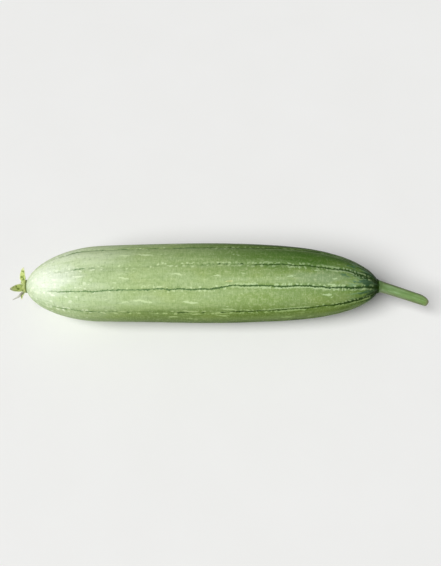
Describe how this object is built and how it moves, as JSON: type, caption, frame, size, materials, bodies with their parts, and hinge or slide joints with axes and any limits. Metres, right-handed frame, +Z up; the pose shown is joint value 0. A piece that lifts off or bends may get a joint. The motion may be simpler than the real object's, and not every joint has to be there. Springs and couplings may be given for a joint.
{
  "type": "sponge gourd",
  "caption": "Smooth green sponge gourd lying on its side, with dark lengthwise lines in shallow grooves, a cut stem and a dried star-shaped calyx at the blossom end.",
  "frame": {"origin": "middle of the small flat spot that the fruit rests on", "axes": "+X along the fruit toward its stem, +Z up from the surface that it rests on"},
  "size_m": [0.3095, 0.0596, 0.0581],
  "materials": {
    "skin": "waxy green fruit skin, satin",
    "stalk": "green plant stalk, matte",
    "dried_sepal": "drying leafy sepal, matte"
  },
  "bodies": {
    "root": {"fruit": "skin", "stem": "stalk", "calyx": "dried_sepal"}
  },
  "joints": []
}
